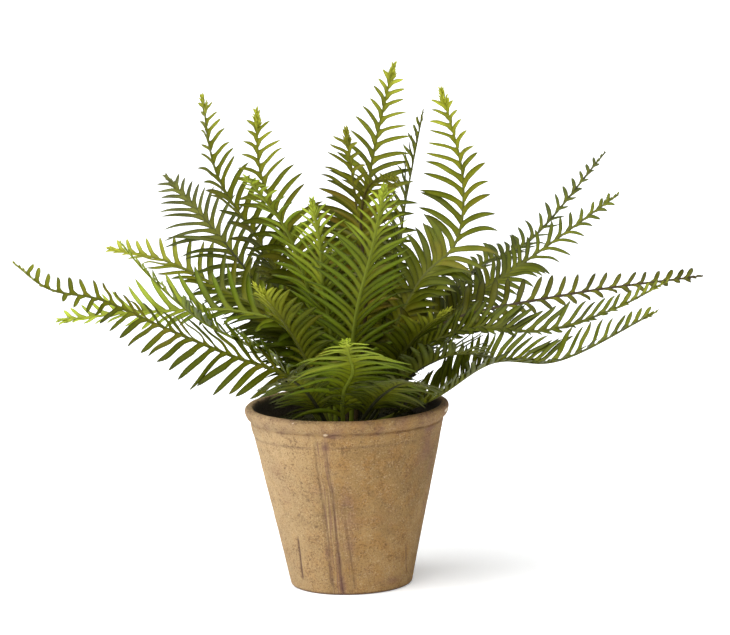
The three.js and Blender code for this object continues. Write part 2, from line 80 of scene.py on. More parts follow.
def degrees(name, description, default):
    """An angle, given in degrees."""
    return bpy.props.FloatProperty(
        name=name, description=description, default=math.radians(default), subtype="ANGLE", unit="ROTATION"
    )


def share(name, description, default):
    """A share from nothing to all."""
    return bpy.props.FloatProperty(name=name, description=description, default=default, min=0, max=1)


def plain(name, description, default):
    """A number from nothing up, such as a light's strength."""
    return bpy.props.FloatProperty(name=name, description=description, default=default, min=0)


def whole(name, description, default):
    """A number of things."""
    return bpy.props.IntProperty(name=name, description=description, default=default, min=0)


def colour(name, description, default):
    """A colour in linear light."""
    return bpy.props.FloatVectorProperty(
        name=name, description=description, default=default, size=3, min=0, max=1, subtype="COLOR"
    )


class FrondSettings(bpy.types.PropertyGroup):
    """The fine build of the fronds."""

    leaf_thickness: length("Leaf thickness", "Thickness of a leaflet along its middle", 0.6)
    leaf_edge: length("Leaf edge", "Thickness of a leaflet at its edges", 0.22)
    leaf_fold: share("Leaf fold", "How far the edges rise above the middle, as a share of the width", 0.16)
    foot_reach: length("Foot reach", "Half the length along the rib where a leaflet grows into it", 2.6)
    wave: length("Wave", "How far a leaflet strays from an even curve", 1.4)
    tip_leaflets: whole("Tip leaflets", "Tiny leaflets crowded at a frond's tip", 22)
    tip_length: length("Tip length", "Length of the longest of the tiny leaflets", 9.5)
    foot_tint: colour("Leaf foot", "Warm tint of a leaflet where it joins the rib", (0.125, 0.13, 0.003))
    end_tint: colour("Leaf end", "Grey-green of an old leaflet's end", (0.035, 0.038, 0.016))


LEAF_PARTS = {"young": "Tips", "grown": "Lower leaflets", "turned": "Oldest leaflets", "rib": "Rib"}
LEAF_COLOURS = {
    "fresh": ((0.335, 0.405, 0.033), (0.105, 0.147, 0.005), (0.13, 0.13, 0.008), (0.14, 0.17, 0.015)),
    "mature": ((0.38, 0.40, 0.035), (0.08, 0.096, 0.003), (0.125, 0.105, 0.008), (0.085, 0.09, 0.012)),
    "deep": ((0.12, 0.126, 0.045), (0.062, 0.076, 0.006), (0.065, 0.06, 0.012), (0.034, 0.034, 0.015)),
    "bronze": ((0.21, 0.21, 0.02), (0.082, 0.082, 0.003), (0.13, 0.07, 0.008), (0.05, 0.032, 0.012)),
}
for kind, colours in LEAF_COLOURS.items():
    for (part, what), rgb in zip(LEAF_PARTS.items(), colours):
        FrondSettings.__annotations__[f"{kind}_{part}"] = colour(
            f"{kind.title()}, {part}", f"{what} of the {kind} fronds", rgb
        )


class PotSettings(bpy.types.PropertyGroup):
    """The clay pot's shape and colours."""

    unevenness: length("Unevenness", "How far the hand-made wall strays from a true cone", 0.5)
    groove_depth: length("Groove depth", "Depth of the groove under the lip", 0.9)
    band_height: length("Band height", "How far the band below the groove stands out", 0.5)
    seam_depth: length("Seam depth", "Depth of the drag marks that run down the front", 0.45)
    crack_depth: length("Crack depth", "Depth of the two short cracks", 0.6)
    pit_depth: length("Pit depth", "Depth of the deepest pits", 0.5)
    clay_light: colour("Light clay", "Paler, dusty clay", (0.36, 0.221, 0.084))
    clay_dark: colour("Dark clay", "Warmer, darker clay", (0.237, 0.143, 0.05))
    speck: colour("Specks", "Dark grit in the clay", (0.13, 0.065, 0.035))
    # Also painted down the left side as a highlight, where the key light falls.
    dust: colour("Dust", "Pale dust and lime", (0.59, 0.44, 0.25))
    stain: colour("Stain", "Purple-brown stain", (0.20, 0.105, 0.075))
    # The marks' colour also paints shade: the line under the band and the line along the foot.
    mark: colour("Marks", "Dark drag marks and cracks", (0.085, 0.04, 0.032))
    chalk: colour("Chalk", "Bare pale clay where it is chipped", (0.80, 0.66, 0.48))
    # Painted shade: darkens the inner wall, where shade falls in the pot's mouth.
    inside: colour("Inside", "Damp, sooty inner wall", (0.04, 0.034, 0.024))


class SoilSettings(bpy.types.PropertyGroup):
    """The potting soil."""

    crumbs: whole("Crumbs", "Lumps lying on the soil", 420)
    crumb_size: length("Crumb size", "Radius of the largest lump", 2.6)
    roughness: length("Roughness", "Height of the soil's own bumps", 1.6)
    dark: colour("Dark soil", "Damp soil, tinged by the green light", (0.022, 0.022, 0.005))
    light: colour("Light soil", "Dry bits in the soil", (0.06, 0.05, 0.016))


class StageSettings(bpy.types.PropertyGroup):
    """The studio and the camera."""

    floor: colour("Floor", "The pale floor", (0.90, 0.91, 0.92))
    sky: plain("Sky", "Strength of the even light", 0.4)
    glow: plain("Glow", "What the camera sees added to the floor", 0.26)
    key: plain("Key", "Strength of the soft light in front, to the left", 3.9)
    key_spread: degrees("Key spread", "How wide the soft light looks from the plant", 76)
    key_turn: degrees("Key turn", "How far the soft light stands to the left of the camera", 47)
    key_rise: degrees("Key rise", "Height of the soft light above the horizon", 60)
    side: plain("Side", "Strength of the low light from the left", 1.0)
    side_spread: degrees("Side spread", "How wide the low light looks from the plant", 45)
    side_turn: degrees("Side turn", "How far the low light stands to the left of the camera", 84)
    side_rise: degrees("Side rise", "Height of the low light above the horizon", 22)
    fill: plain("Fill", "Power of the light in front", 10)
    distance: length("Distance", "From the camera to the plant", 3000)
    elevation: degrees("Elevation", "Height of the camera above the horizon", 9.3)
    roll: degrees("Roll", "Turn of the camera about its own axis", 1.6)
    lens: plain("Lens", "Focal length in millimetres", 205.5)


class FernSettings(bpy.types.PropertyGroup):
    """All the sizes and colours of the fern."""

    fronds: bpy.props.PointerProperty(type=FrondSettings)
    pot: bpy.props.PointerProperty(type=PotSettings)
    soil: bpy.props.PointerProperty(type=SoilSettings)
    stage: bpy.props.PointerProperty(type=StageSettings)


# Meshes


def add_object(name, data):
    """Puts data into the scene as a new object."""
    made = bpy.data.objects.new(name, data)
    bpy.context.scene.collection.objects.link(made)
    return made


def circle(count):
    """The angles of so many points spread evenly round a circle."""
    return [2 * math.pi * index / count for index in range(count)]


class Shape:
    """Points and faces of a piece, with values at each point for its material."""

    def __init__(self, *marks):
        self.points = []
        self.faces = []
        self.marks = {name: [] for name in marks}

    def add_ring(self, ring, **marks):
        """Adds a ring of points and gives its first one's number; a mark is one value or a list."""
        first = len(self.points)
        self.points.extend(ring)
        for name, values in self.marks.items():
            mark = marks.get(name, 0.0)
            values.extend(mark if isinstance(mark, list) else [mark] * len(ring))
        return first

    def join(self, starts, count):
        """Joins each ring of so many points to the next."""
        for first, second in zip(starts, starts[1:]):
            for corner in range(count):
                after = (corner + 1) % count
                self.faces.append((first + corner, first + after, second + after, second + corner))

    def close(self, start, count, centre):
        """Closes a ring of so many points with triangles round a point in its middle."""
        hub = self.add_ring([centre])
        for corner in range(count):
            self.faces.append((start + corner, start + (corner + 1) % count, hub))

    def add_tube(self, rings, marks):
        """Adds a closed tube through rings of as many points, capped at both ends."""
        count = len(rings[0])
        starts = [self.add_ring(ring, **mark) for ring, mark in zip(rings, marks)]
        self.join(starts, count)
        self.faces.append(tuple(range(starts[0] + count - 1, starts[0] - 1, -1)))
        self.faces.append(tuple(range(starts[-1], starts[-1] + count)))

    def build(self, name, material, node, sharp_angle):
        """Makes the piece that stands for a node, smooth but for edges sharper than so many degrees."""
        mesh = bpy.data.meshes.new(name)
        mesh.from_pydata(self.points, [], self.faces)
        for mark, values in self.marks.items():
            mesh.attributes.new(mark, "FLOAT", "POINT").data.foreach_set("value", values)
        form = bmesh.new()
        form.from_mesh(mesh)
        bmesh.ops.recalc_face_normals(form, faces=form.faces)
        form.to_mesh(mesh)
        form.free()
        mesh.shade_smooth()
        mesh.set_sharp_from_angle(angle=math.radians(sharp_angle))
        mesh.materials.append(material)
        piece = add_object(name, mesh)
        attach(piece, "root")
        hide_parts(node)


def smooth(value, low=0.0, high=1.0):
    """The even step from 0 at low to 1 at high."""
    t = np.clip((value - low) / (high - low), 0.0, 1.0)
    return t * t * (3 - 2 * t)


# Materials

GRIT_PATCHES = 0.13  # scale of the patches that hold more grit, beside that of the grains
GRIT_GATHERING = 0.35  # how far the grit gathers in them
CLAY_WARMTH = (0.92, 0.8, 0.62)  # the warm patches' share of the light clay's red, green and blue
DRAG_STRETCH = 0.035  # scale of the drag marks along the wall, beside that across it


def feed(tree, sockets, values):
    """Gives each socket its value or links it to the socket that feeds it."""
    for key, value in values.items():
        if isinstance(value, bpy.types.NodeSocket):
            tree.links.new(value, sockets[key])
        else:
            sockets[key].default_value = value


def place(tree, kind, inputs=None, **settings):
    """Adds a shader node with its inputs and settings."""
    made = tree.nodes.new(kind if kind.startswith("Node") else "ShaderNode" + kind)
    for name, value in settings.items():
        setattr(made, name, value)
    feed(tree, made.inputs, inputs or {})
    return made


def opaque(rgb):
    """A colour with full alpha."""
    return (*rgb, 1.0)


def mixed(tree, amount, first, second, mode="MIX"):
    """The mix of two colours."""
    made = place(tree, "Mix", {0: amount, 6: first, 7: second}, data_type="RGBA", blend_type=mode)
    return made.outputs[2]


def stepped(tree, value, low, high, top=1.0):
    """A soft step of a value from 0 at low to the top at high."""
    ends = {"Value": value, "From Min": low, "From Max": high, "To Max": top}
    return place(tree, "MapRange", ends, interpolation_type="SMOOTHSTEP").outputs[0]


def plus(tree, first, second):
    """A sum."""
    return place(tree, "Math", {0: first, 1: second}, operation="ADD").outputs[0]


def minus(tree, first, second):
    """A difference."""
    return place(tree, "Math", {0: first, 1: second}, operation="SUBTRACT").outputs[0]


def times(tree, first, *others):
    """A product."""
    for other in others:
        first = place(tree, "Math", {0: first, 1: other}, operation="MULTIPLY").outputs[0]
    return first


def clouds(tree, vector, scale, detail=3.0):
    """Even noise from 0 to 1."""
    return place(tree, "TexNoise", {"Vector": vector, "Scale": scale, "Detail": detail}).outputs["Fac"]


def painted(tree, name):
    """A value painted on the piece's points."""
    return place(tree, "Attribute", attribute_name=name).outputs["Fac"]


def new_group(name, inputs, outputs):
    """A shader node group: its tree, the sockets of its inputs and those of its outputs."""
    tree = bpy.data.node_groups.new(name, "ShaderNodeTree")
    for socket, default in inputs.items():
        kind = "NodeSocketFloat" if isinstance(default, float) else "NodeSocketColor"
        tree.interface.new_socket(socket, in_out="INPUT", socket_type=kind).default_value = default
    for socket, kind in outputs.items():
        tree.interface.new_socket(socket, in_out="OUTPUT", socket_type="NodeSocket" + kind)
    return tree, place(tree, "NodeGroupInput").outputs, place(tree, "NodeGroupOutput").inputs


def grit_group():
    """Grains scattered through a surface: a mask of the grains and the height that they give it."""
    if "Grit" in bpy.data.node_groups:
        return bpy.data.node_groups["Grit"]
    inputs = {"Scale": 800.0, "Cover": 0.4, "Softness": 0.08}
    tree, given, out = new_group("Grit", inputs, {"Mask": "Float", "Height": "Float"})
    where = place(tree, "TexCoord").outputs["Object"]
    grains = clouds(tree, where, given["Scale"], 4.0)
    patches = clouds(tree, where, times(tree, given["Scale"], GRIT_PATCHES), 2.0)
    level = plus(tree, grains, times(tree, minus(tree, patches, 0.5), GRIT_GATHERING))
    low = minus(tree, 1.0, given["Cover"])
    mask = stepped(tree, level, low, plus(tree, low, given["Softness"]))
    feed(tree, out, {"Mask": mask, "Height": level})
    return tree


def grit(tree, scale, cover, softness):
    """Grit in a material: the sockets of its mask and its height."""
    inputs = {"Scale": scale, "Cover": cover, "Softness": softness}
    return place(tree, "Group", inputs, node_tree=grit_group()).outputs


def leaf_group():
    """A leaf's colour from its place on the frond: young at the tip, warm at its foot, turned by chance."""
    if "Leaf" in bpy.data.node_groups:
        return bpy.data.node_groups["Leaf"]
    inputs = dict.fromkeys(("Young", "Grown", "Turned", "Foot", "End", "Rib"), (0.1, 0.1, 0.1, 1.0))
    tree, given, out = new_group("Leaf", inputs, {"Color": "Color", "Roughness": "Float", "Height": "Float"})
    where = place(tree, "TexCoord").outputs["Object"]
    tipward = painted(tree, "tipward")
    leafward = painted(tree, "leafward")
    chance = painted(tree, "chance")
    patches = clouds(tree, where, 60.0)
    grain = clouds(tree, where, 700.0, 2.0)
    age = plus(tree, tipward, times(tree, minus(tree, patches, 0.5), 0.3))
    leaf = mixed(tree, stepped(tree, age, 0.45, 1.05), given["Grown"], given["Young"])
    browning = times(tree, stepped(tree, chance, 0.45, 0.9), stepped(tree, patches, 0.35, 0.65))
    layers = {
        "Foot": stepped(tree, leafward, 0.5, 0.0, 0.55),
        "Turned": times(tree, browning, stepped(tree, tipward, 1.0, 0.5, 0.75)),
        "End": times(tree, stepped(tree, leafward, 0.7, 1.0), stepped(tree, tipward, 0.95, 0.4, 0.5)),
        "Rib": times(tree, painted(tree, "rib"), stepped(tree, tipward, 1.1, 0.5)),
    }
    for name, mask in layers.items():
        leaf = mixed(tree, mask, leaf, given[name])
    # painted sheen: the leaflets' edges are darkened, so their middles read as a lighter line
    edge = stepped(tree, painted(tree, "edge"), 0.35, 1.0, 0.42)
    light = minus(tree, plus(tree, 0.78, times(tree, chance, 0.65)), edge)
    light = times(tree, light, plus(tree, 0.86, times(tree, grain, 0.28)))
    shade = place(tree, "CombineColor", {0: light, 1: light, 2: light}).outputs[0]
    feed(tree, out, {
        "Color": mixed(tree, 1.0, leaf, shade, "MULTIPLY"),
        "Roughness": plus(tree, 0.36, times(tree, patches, 0.2)),
        "Height": grain,
    })
    return tree


def new_material(name):
    """A material with its tree and its surface shader."""
    material = bpy.data.materials.new(name)
    material.use_nodes = True
    tree = material.node_tree
    return material, tree, tree.nodes["Principled BSDF"]


def finish_surface(tree, shader, base, rough, shine, height, bump, depth):
    """Feeds a surface shader, with a bump from a height."""
    normal = place(tree, "Bump", {"Height": height, "Strength": bump, "Distance": depth}).outputs[0]
    inputs = {"Base Color": base, "Roughness": rough, "Specular IOR Level": shine, "Normal": normal}
    feed(tree, shader.inputs, inputs)


def leaf_material(slot, settings):
    """The leaf material of one record slot."""
    material, tree, shader = new_material(slot)
    inputs = {"Foot": opaque(settings.foot_tint), "End": opaque(settings.end_tint)}
    for part in LEAF_PARTS:
        inputs[part.title()] = opaque(getattr(settings, slot.replace("leaf", part)))
    leaf = place(tree, "Group", inputs, node_tree=leaf_group()).outputs
    rough, height = leaf["Roughness"], leaf["Height"]
    finish_surface(tree, shader, leaf["Color"], rough, shine=0.12, height=height, bump=0.25, depth=0.2 * MM)
    return material


def clay_material(settings):
    """Aged clay: mottled tans, grit and dust, purple-brown stains, dark marks and bare chips, with painted
    light and shade: a pale left side, shaded lines under the band and along the foot, and a shaded inner
    wall.
    """
    material, tree, shader = new_material("aged_clay")
    where = place(tree, "TexCoord").outputs["Object"]
    parts = place(tree, "SeparateXYZ", {0: where}).outputs
    middling = clouds(tree, where, 95.0)
    fibres = clouds(tree, where, 420.0, 6.0)
    fine = grit(tree, 1250.0, 0.49, 0.12)
    coarse = grit(tree, 760.0, 0.42, 0.08)["Mask"]
    pale = grit(tree, 900.0, 0.46, 0.14)["Mask"]
    along = times(tree, parts["Z"], DRAG_STRETCH)
    stretched = place(tree, "CombineXYZ", {0: painted(tree, "across"), 1: along}).outputs[0]
    drags = clouds(tree, stretched, 800.0, 5.0)
    drag = painted(tree, "drag")
    warm = [value * factor for value, factor in zip(settings.clay_light, CLAY_WARMTH)]
    base = opaque(settings.clay_dark)
    layers = (
        (stepped(tree, clouds(tree, where, 17.0), 0.3, 0.7), settings.clay_light),
        (stepped(tree, middling, 0.42, 0.66, 0.6), warm),
        (stepped(tree, parts["X"], 0.005, -0.065, 0.5), settings.dust),  # painted light: the left side, towards the key light, is paler
        (stepped(tree, fibres, 0.5, 0.34, 0.2), settings.speck),
        (times(tree, pale, 0.3), settings.dust),
        (times(tree, fine["Mask"], 0.34), settings.speck),
        (times(tree, coarse, 0.42), settings.speck),
        (times(tree, stepped(tree, drags, 0.47, 0.36, 0.3), drag), settings.dust),
        (times(tree, stepped(tree, drags, 0.5, 0.62, 0.62), drag), settings.stain),
        (times(tree, painted(tree, "stain"), stepped(tree, middling, 0.3, 0.6)), settings.stain),
        # the marks include painted shade under the band and along the foot
        (painted(tree, "mark"), settings.mark),
        (painted(tree, "chalk"), settings.chalk),
        # painted shade on the inner wall
        (painted(tree, "inside"), settings.inside),
    )
    for mask, rgb in layers:
        base = mixed(tree, mask, base, opaque(rgb))
    height = minus(tree, fine["Height"], coarse)
    height = minus(tree, height, times(tree, drags, drag, 3.0))
    height = plus(tree, height, times(tree, fibres, 2.5))
    rough = plus(tree, 0.78, times(tree, fine["Mask"], 0.15))
    finish_surface(tree, shader, base, rough, shine=0.25, height=height, bump=0.9, depth=0.5 * MM)
    return material


def soil_material(settings):
    """Damp dark soil with dry bits."""
    material, tree, shader = new_material("potting_soil")
    bits = grit(tree, 420.0, 0.42, 0.1)
    base = mixed(tree, bits["Mask"], opaque(settings.dark), opaque(settings.light))
    rough = plus(tree, 0.8, times(tree, bits["Mask"], 0.15))
    finish_surface(tree, shader, base, rough, shine=0.1, height=bits["Height"], bump=0.6, depth=0.6 * MM)
    return material


# Fronds

# How a frond's solid is read.
WELD = 0.01 * MM
RIB_KEEL_SHARE = 1.35  # from the rib's edges down to its keel, in half widths
RIB_END = 0.7  # half width at the rib's tip, as a share of the last ring's
LEAF_PLACES = {1: 0.24, 2: 0.6}  # place of a leaflet's last ring along it, by its number of rings
LEAF_SWELLS = {1: 1.0, 2: 0.9}  # and its width there, as a share of the leaflet's width

# The fine rib, its section in half widths.
RIB_SIDES = 8
RIB_STEPS = 4  # fine rings between two of the solid's
RIB_WIDTH = 1.08
RIB_HEIGHT = 0.8
RIB_GROOVE = 0.25  # depth of the groove along the upper side
RIB_SECTION = [
    (RIB_WIDTH * math.cos(turn), RIB_HEIGHT * math.sin(turn) - RIB_GROOVE * (corner == RIB_SIDES // 4))
    for corner, turn in enumerate(circle(RIB_SIDES))
]

# A fine leaflet. Places along it run from 0 at its foot to 1 at its tip.
LEAF_STATIONS = (-0.04, 0.0, 0.04, 0.08, 0.13, 0.2, 0.3, 0.42, 0.54, 0.66, 0.77, 0.87, 0.94, 0.985, 1.0)
LEAF_ACROSS = (-1.0, -0.5, 0.0, 0.5, 1.0)
LEAF_EDGES = [abs(u) for u in LEAF_ACROSS] * 2
FOOT_WIDTH = 0.66  # width past the foot, as a share of the widest
SHOULDER = 0.34  # place of the widest point
TAPER = 0.8  # how early the sides run in to the tip
LEAST_HALF = 0.12 * MM  # half width at the tip
FOOT_END = 0.16  # share of a leaflet's length over which it narrows from its foot
FOOT_CURVE = 2.4  # how quickly it does so
FOOT_GROWTH = 0.6  # how much longer the foot is at the frond's tip
FOOT_LIMIT = 0.3  # the longest foot, as a share of the leaflet
FOOT_SINK = 0.3  # how far a foot lies towards the stalk, as a share of its reach
BASE_SINK = 0.4 * MM  # how far a leaflet's foot is moved into the rib
FOLD_END = 0.3  # place where the fold is full
FOLD_CURVE = 1.4  # how evenly it rises to the edges
TIP_THINNING = 0.5  # how much thinner a leaflet is at its tip
UPPER_SHARE = 0.4  # share of its thickness above its middle
FULL_WAVE = 30 * MM  # length from which a leaflet has the whole wave
TWIST = 0.25  # how far it twists at most, in radians
TIP_SLIMMING = 0.1  # how much narrower the leaflets are at the frond's tip
TIP_STRAIGHTENING = 0.75  # how much of its bend a leaflet loses at the frond's tip
LEAF_STRAY = 0.05  # how far a leaflet's tip strays, as a share of its length
WIDTH_STRAY = 0.13  # how far its width strays
REST_STRAY = 2 * MM  # how far the tip of a leaflet between two others strays as well
REST_LENGTHS = (0.82, 1.02)  # its length beside theirs

# The tiny leaflets at a frond's tip.
TIP_SPREAD = 15 * MM  # stretch of the rib that they grow from
TIP_TOP = 0.95  # share of that stretch below the last of them
TIP_LEANS = (14, 30)  # how far they lean out from the rib, in degrees
TIP_LEAN_SHARES = (1.1, 0.6)  # and the share of it at the first of them and at the last
TIP_RISES = (-35, 55)  # how far round the rib they stand from its side, in degrees
TIP_SIZES = (0.8, 1.0)  # their length beside the tip length
TIP_SHORTENING = 0.45  # how much shorter the last of them is
TIP_LEAST = 0.4  # share of the length that the thinnest bud keeps
TIP_CURL = 0.18  # how far their ends bend out
TIP_WIDTHS = (1.9, 2.5)  # in mm
TIP_FULLNESS = 1.7  # how far along its length such a leaflet keeps its width

# Chance makes leaflets lighter and, when it is high, brown: the frond's own, and what is added to it.
FROND_CHANCES = (0.3, 0.6)
LEAF_CHANCES = (-0.35, 0.45)
TIP_CHANCES = (-0.1, 0.4)
LEAST_CHANCE = -0.4

# How single fronds differ: how pale the tip is, how full the bud is, how far along its length a leaflet
# keeps its width, how dark the leaflets are (painted shade, most on the inner fronds and those on the right;
# below nothing it lightens them), up to which share of the leafy rib a leaflet stands between every two of
# the solid's, and how wide the leaflets are beside the solid's.
COMMON_LOOK = (1.0, 1.0, 3.6, 0.0, 0.0, 1.15)
LOOKS = {
    "left_long": (0.85, 0.25, 6.0, 0.0, 0.0, 1.45),
    "left_middle": (1.0, 0.5, 4.5, 0.1, 0.4, 1.3),
    "left_pale_tip": (1.3, 0.6, 4.5, 0.0, 0.0, 1.2),
    "left_edge_on": (1.0, 0.6, 4.5, 0.0, 0.6, 1.3),
    "left_upper": (1.0, 0.6, 3.0, 0.0, 0.4, 1.2),
    "left_tall": (1.0, 1.0, 3.6, 0.0, 0.45, 1.2),
    "left_tall_inner": (1.0, 1.0, 3.6, 0.0, 0.4, 1.2),
    "tallest": (1.0, 0.9, 3.6, 0.0, 0.45, 1.25),
    "centre_back": (1.0, 1.0, 3.6, 0.0, 0.4, 1.25),
    "right_tall": (1.0, 1.0, 3.6, 0.0, 0.45, 1.25),
    "right_edge_on": (0.6, 0.4, 3.0, 0.0, 0.0, 1.15),
    "right_upper_back": (0.7, 0.3, 3.0, 0.1, 0.6, 1.3),
    "right_upper": (0.6, 0.4, 3.6, 0.2, 0.6, 1.3),
    "right_long": (0.3, 0.25, 6.0, 0.4, 0.0, 1.4),
    "right_middle": (0.75, 0.4, 5.0, 0.3, 0.5, 1.3),
    "right_low": (0.65, 0.4, 4.5, 0.3, 0.55, 1.35),
    "front_fresh": (1.0, 1.2, 3.0, 0.0, 0.0, 1.0),
    "front_left": (1.0, 1.0, 3.6, 0.15, 0.0, 1.0),
    "front_right": (1.0, 1.0, 3.6, 0.25, 0.0, 1.0),
    "inner_left": (1.0, 1.0, 3.6, -0.1, 1.0, 1.15),
    "inner_right": (1.0, 1.0, 3.6, 0.2, 1.0, 1.15),
    "inner_low_right": (1.0, 1.0, 3.6, 0.3, 1.0, 1.15),
    "inner_back_right": (1.0, 1.0, 3.6, 0.2, 1.0, 1.15),
    "inner_back": (1.0, 1.0, 3.6, 0.2, 1.0, 1.15),
    "front_low_left": (1.0, 1.0, 3.6, 0.0, 1.0, 1.15),
    "front_low_right": (1.0, 1.0, 3.6, 0.0, 1.0, 1.15),
}


def walk(front, barred=frozenset()):
    """The sets of points met one after the other along the edges, from a first set."""
    seen = set(barred)
    while front:
        yield front
        seen |= front
        front = {edge.other_vert(point) for point in front for edge in point.link_edges} - seen


def section(ring):
    """Of a ring of three points: its longest side, that side's middle, the way up to it and its keel."""
    a, b, c = ring
    turns = ((a, b, c), (b, c, a), (c, a, b))
    first, second, keel = max(turns, key=lambda turn: (turn[0].co - turn[1].co).length)
    middle = (first.co + second.co) / 2
    return second.co - first.co, middle, middle - keel.co, keel


def read_frond(mesh):
    """The rib's stations and the leaflets of a frond's solid."""
    form = bmesh.new()
    form.from_mesh(mesh)
    bmesh.ops.remove_doubles(form, verts=form.verts, dist=WELD)
    foot = set(sorted(form.verts, key=lambda point: point.co.z)[:3])
    tips = {}
    for point in form.verts:
        if len(point.link_edges) == 3 and point not in foot:
            onward = itertools.islice(walk({point}), 1, None)
            rings = list(itertools.takewhile(lambda ring: len(ring) == 3, onward))
            if len(rings) > 1:
                tips[point] = rings
    leaf_points = set(tips)
    for rings in tips.values():
        for ring in rings[:-1]:
            leaf_points |= ring
    rings = list(walk(foot, leaf_points))
    if len(rings[-1]) != 1 or any(len(ring) != 3 for ring in rings[:-1]):
        raise RuntimeError(f"{mesh.name}: the rib's rings don't follow one another")
    level = {}
    keels = set()
    stations = []
    for index, ring in enumerate(rings[:-1]):
        _, middle, up, keel = section(ring)
        keels.add(keel)
        level.update((point, index) for point in ring)
        stations.append({
            "centre": middle - up / 3, "up": up.normalized(), "half": up.length / RIB_KEEL_SHARE,
        })
    (end,) = rings[-1]
    last = stations[-1]
    stations.append({"centre": end.co.copy(), "up": last["up"], "half": last["half"] * RIB_END})
    leaflets = []
    for tip, rings in tips.items():
        here, after = sorted((point for point in rings[-1] if point not in keels), key=level.get)
        foot_line = after.co - here.co
        across, middle, up, _ = section(rings[0])
        count = len(rings) - 1
        base = (here.co + after.co) / 2
        where = LEAF_PLACES[count]
        leaflets.append({
            "level": level[here],
            "base": base,
            "foot_line": foot_line.normalized(),
            "bow": (middle - base - where * (tip.co - base)) / (where * where - where),
            "across": across.normalized() * (-1 if across.dot(foot_line) < 0 else 1),
            "face": up.normalized(),
            "width": across.length / LEAF_SWELLS[count],
            "tip": tip.co.copy(),
        })
    form.free()
    leaflets.sort(key=lambda leaf: (leaf["level"], *leaf["base"]))
    return stations, leaflets


def curve_points(points, steps):
    """Points of a smooth curve through the given ones, with so many steps between two."""
    ends = [2 * points[0] - points[1], *points, 2 * points[-1] - points[-2]]
    fine = []
    for before, start, stop, after in zip(ends, ends[1:], ends[2:], ends[3:]):
        for step in range(steps):
            t = step / steps
            bend = 2 * before - 5 * start + 4 * stop - after
            swing = 3 * start - before - 3 * stop + after
            fine.append(start + (t * (stop - before) + t ** 2 * bend + t ** 3 * swing) / 2)
    fine.append(points[-1])
    return fine


def add_rib(shape, stations, first_leaf, chance, youth):
    """Adds the rib, a rounded rod with a groove along its upper side, and gives the line of its centres."""
    centres, ups, halves = (
        curve_points([station[key] for station in stations], RIB_STEPS) for key in ("centre", "up", "half")
    )
    rings = []
    marks = []
    for index, (centre, up, half) in enumerate(zip(centres, ups, halves)):
        before = centres[max(index - 1, 0)]
        after = centres[min(index + 1, len(centres) - 1)]
        along = (after - before).normalized()
        side = along.cross(up).normalized()
        up = side.cross(along)
        rings.append([centre + half * (across * side + rise * up) for across, rise in RIB_SECTION])
        place_share = index / RIB_STEPS / (len(stations) - 1)
        tipward = youth * max(0.0, (place_share - first_leaf) / (1 - first_leaf))
        marks.append({"tipward": tipward, "rib": 1.0, "chance": chance})
    shape.add_tube(rings, marks)
    return centres


def leaf_width(along, fullness):
    """A leaflet's width at a place along it, as a share of its full width."""
    shoulder = FOOT_WIDTH + (1 - FOOT_WIDTH) * smooth(along, 0.0, SHOULDER)
    return shoulder * (1 - along ** fullness) ** TAPER


def add_leaflet(shape, leaf, settings, tipward, chance, draw):
    """Adds one fine leaflet: a long pointed blade, folded along its middle, that grows out of the rib."""
    reach = leaf["tip"] - leaf["base"]
    bow = leaf["bow"] * (1 - TIP_STRAIGHTENING * tipward * tipward)
    start = reach - bow
    size = reach.length
    foot_reach = min(settings.foot_reach * (1 + FOOT_GROWTH * tipward), FOOT_LIMIT * size)
    foot_end = FOOT_END * (1 + tipward)
    sway = draw.uniform(-1, 1) * settings.wave * min(1.0, size / FULL_WAVE)
    twist = draw.uniform(-TWIST, TWIST)
    rings = []
    marks = []
    for v in LEAF_STATIONS:
        along = max(v, 0.0)
        heading = (start + 2 * bow * v).normalized()
        across = (leaf["across"] - heading * leaf["across"].dot(heading)).normalized()
        across = Matrix.Rotation(twist * along, 3, heading) @ across
        up = across.cross(heading).normalized()
        if up.dot(leaf["face"]) < 0:
            up = -up
        half = max(0.5 * leaf["width"] * leaf_width(along, leaf["fullness"]), LEAST_HALF)
        hold = (1 - min(1.0, along / foot_end)) ** FOOT_CURVE
        reach_half = half * (1 - hold) + max(foot_reach, half) * hold
        spread = (across * (1 - hold) + leaf["foot_line"] * hold).normalized()
        centre = leaf["base"] + start * v + bow * v * v + up * sway * math.sin(2 * math.pi * along)
        centre = centre - leaf["foot_line"] * (FOOT_SINK * foot_reach * hold)
        fold = settings.leaf_fold * half * 2 * smooth(along, 0.0, FOLD_END)
        upper = []
        lower = []
        for u in LEAF_ACROSS:
            thick = settings.leaf_edge + (settings.leaf_thickness - settings.leaf_edge) * (1 - u * u)
            thick *= 1 - TIP_THINNING * along
            point = centre + spread * (u * reach_half) + up * (fold * abs(u) ** FOLD_CURVE)
            upper.append(point + up * thick * UPPER_SHARE)
            lower.append(point - up * thick * (1 - UPPER_SHARE))
        rings.append([*upper, *reversed(lower)])
        marks.append({"tipward": tipward, "leafward": along, "chance": chance, "edge": LEAF_EDGES})
    shape.add_tube(rings, marks)


